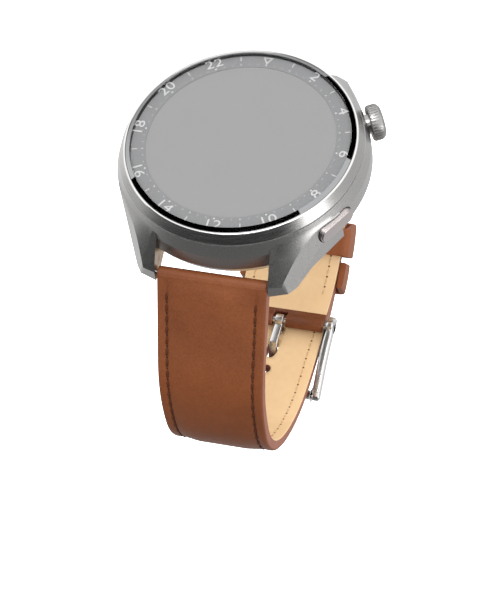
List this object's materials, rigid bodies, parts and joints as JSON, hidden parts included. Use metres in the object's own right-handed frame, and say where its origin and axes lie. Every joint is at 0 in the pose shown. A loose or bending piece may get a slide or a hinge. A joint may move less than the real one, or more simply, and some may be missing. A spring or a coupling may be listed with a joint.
{
  "type": "smartwatch",
  "caption": "Round smartwatch with a turning crown, side button and a buckled two-tone leather strap.",
  "frame": {"origin": "centre of the case back's flat window, where the watch rests on the wrist", "axes": "+X to 3 o'clock, where the crown side is, +Y to 12 o'clock, +Z out of the dial"},
  "size_m": [0.0494, 0.0682, 0.0673],
  "materials": {
    "crystal": "clear, with a polished bevel at the rim",
    "dial_print": "printed hour scale on grey film",
    "screen": "plain grey, as when lit by a flat grey face",
    "black_rubber": "matt black",
    "bezel_steel": "circular brushing with a polished inner lip",
    "case_steel": "satin, brushed along the lugs",
    "black_plastic": "matt moulded",
    "white_plastic": "matt moulded",
    "flex_film": "amber film",
    "circuit_board": "green solder mask",
    "tin_shield": "stamped tin plate",
    "battery_can": "plain satin can",
    "copper_coil": "lacquered copper winding",
    "sensor_chips": "clear moulded lenses",
    "back_ceramic": "black, satin",
    "sensor_glass": "dark smoked dome",
    "screw_steel": "bright cross-head screws",
    "polished_steel": "polished",
    "spring_steel": "drawn wire and thin strip",
    "crown_steel": "fine ribs round a satin cap",
    "button_steel": "satin with polished edges",
    "brown_leather": "tan-brown grain, slightly padded, tonal stitching",
    "cream_lining": "smooth cream lining",
    "buckle_steel": "satin with polished edges"
  },
  "bodies": {
    "watch_head": {"front_glass": "crystal", "dial_ring": "dial_print", "display_panel": "screen", "glass_gasket": "black_rubber", "bezel": "bezel_steel", "mid_case": "case_steel", "antenna_ring": "black_plastic", "display_bracket": "black_plastic", "display_flex": "flex_film", "main_board": "circuit_board", "shield_cans": "tin_shield", "inner_frame": "black_plastic", "battery": "battery_can", "speaker": "black_plastic", "vibration_motor": "tin_shield", "charging_coil": "copper_coil", "sensor_board": "circuit_board", "optical_sensors": "sensor_chips", "back_gasket": "black_rubber", "back_cover": "back_ceramic", "sensor_window": "sensor_glass", "back_screws": "screw_steel", "board_screws": "screw_steel", "crown_tube": "polished_steel", "encoder_sensor": "black_plastic", "crown_switch": "black_plastic", "button_springs": "spring_steel", "button_switch": "black_plastic", "front_bar_tube": "polished_steel", "rear_bar_tube": "polished_steel", "bar_springs": "spring_steel"},
    "crown_slider": {"crown_plunger": "white_plastic"},
    "crown": {"crown_cap": "crown_steel", "crown_stem": "polished_steel", "crown_seals": "black_rubber", "crown_clip": "spring_steel", "encoder_wheel": "black_plastic"},
    "side_button": {"button_cap": "button_steel", "button_posts": "polished_steel", "button_seals": "black_rubber", "button_yoke": "spring_steel"},
    "front_pin_left": {"front_pin_left": "polished_steel"},
    "front_pin_right": {"front_pin_right": "polished_steel"},
    "rear_pin_left": {"rear_pin_left": "polished_steel"},
    "rear_pin_right": {"rear_pin_right": "polished_steel"},
    "strap_front": {"long_leather_upper": "brown_leather", "long_lining_upper": "cream_lining"},
    "strap_lower": {"long_leather_lower": "brown_leather", "long_lining_lower": "cream_lining", "short_leather_lower": "brown_leather", "short_lining_lower": "cream_lining", "fixed_keeper": "brown_leather"},
    "strap_rear": {"short_leather_upper": "brown_leather", "short_lining_upper": "cream_lining"},
    "free_keeper": {"free_keeper": "brown_leather"},
    "buckle": {"buckle_frame": "buckle_steel", "buckle_bar": "polished_steel"},
    "tongue": {"tongue": "buckle_steel"}
  },
  "joints": [
    {"name": "crown_press", "type": "slide", "parent": "watch_head", "child": "crown_slider", "axis": [-0.866, -0.5, 0], "range_m": [0, 0.0004], "stiffness_N_per_m": 1500, "springref_m": -0.0006},
    {"name": "crown_turn", "type": "hinge", "parent": "crown_slider", "child": "crown", "pos_m": [0.01862, 0.01075, 0.0073], "axis": [0.866, 0.5, 0], "continuous": true},
    {"name": "button_press", "type": "slide", "parent": "watch_head", "child": "side_button", "axis": [-0.866, 0.5, 0], "range_m": [0, 0.0004], "stiffness_N_per_m": 1500, "springref_m": -0.0006, "deforming": ["button_springs"]},
    {"name": "front_pin_left_slide", "type": "slide", "parent": "watch_head", "child": "front_pin_left", "axis": [1, 0, 0], "range_m": [0, 0.0011], "stiffness_N_per_m": 600, "springref_m": -0.0006, "deforming": ["bar_springs"]},
    {"name": "front_pin_right_slide", "type": "slide", "parent": "watch_head", "child": "front_pin_right", "axis": [-1, 0, 0], "range_m": [0, 0.0011], "stiffness_N_per_m": 600, "springref_m": -0.0006},
    {"name": "rear_pin_left_slide", "type": "slide", "parent": "watch_head", "child": "rear_pin_left", "axis": [1, 0, 0], "range_m": [0, 0.0011], "stiffness_N_per_m": 600, "springref_m": -0.0006},
    {"name": "rear_pin_right_slide", "type": "slide", "parent": "watch_head", "child": "rear_pin_right", "axis": [-1, 0, 0], "range_m": [0, 0.0011], "stiffness_N_per_m": 600, "springref_m": -0.0006},
    {"name": "strap_swing", "type": "hinge", "parent": "watch_head", "child": "strap_front", "pos_m": [0, -0.0249, 0.0021], "axis": [1, 0, 0], "range_deg": [-8, 8]},
    {"name": "front_leather_flex", "type": "hinge", "parent": "strap_front", "child": "strap_lower", "pos_m": [0, -0.03707, -0.02152], "axis": [1, 0, 0], "range_deg": [-6.4, 6.4], "stiffness_Nm_per_rad": 0.15},
    {"name": "rear_leather_flex", "type": "hinge", "parent": "strap_lower", "child": "strap_rear", "pos_m": [0, 0.0275, -0.022], "axis": [1, 0, 0], "range_deg": [-6.4, 6.4], "stiffness_Nm_per_rad": 0.15},
    {"name": "keeper_slide", "type": "hinge", "parent": "strap_lower", "child": "free_keeper", "pos_m": [0, 0.0025, -0.022], "axis": [1, 0, 0], "range_deg": [-2.3, 18]},
    {"name": "buckle_swing", "type": "hinge", "parent": "strap_lower", "child": "buckle", "pos_m": [0, 0.00129, -0.04672], "axis": [1, 0, 0], "range_deg": [-2, 3]},
    {"name": "tongue_swing", "type": "hinge", "parent": "buckle", "child": "tongue", "pos_m": [0, 0.00129, -0.04672], "axis": [1, 0, 0], "range_deg": [0, 0.6]}
  ],
  "couplings": [
    {"joint": "front_leather_flex", "follows": "strap_swing", "ratio": -0.77184},
    {"joint": "rear_leather_flex", "follows": "strap_swing", "ratio": 0.75661}
  ]
}
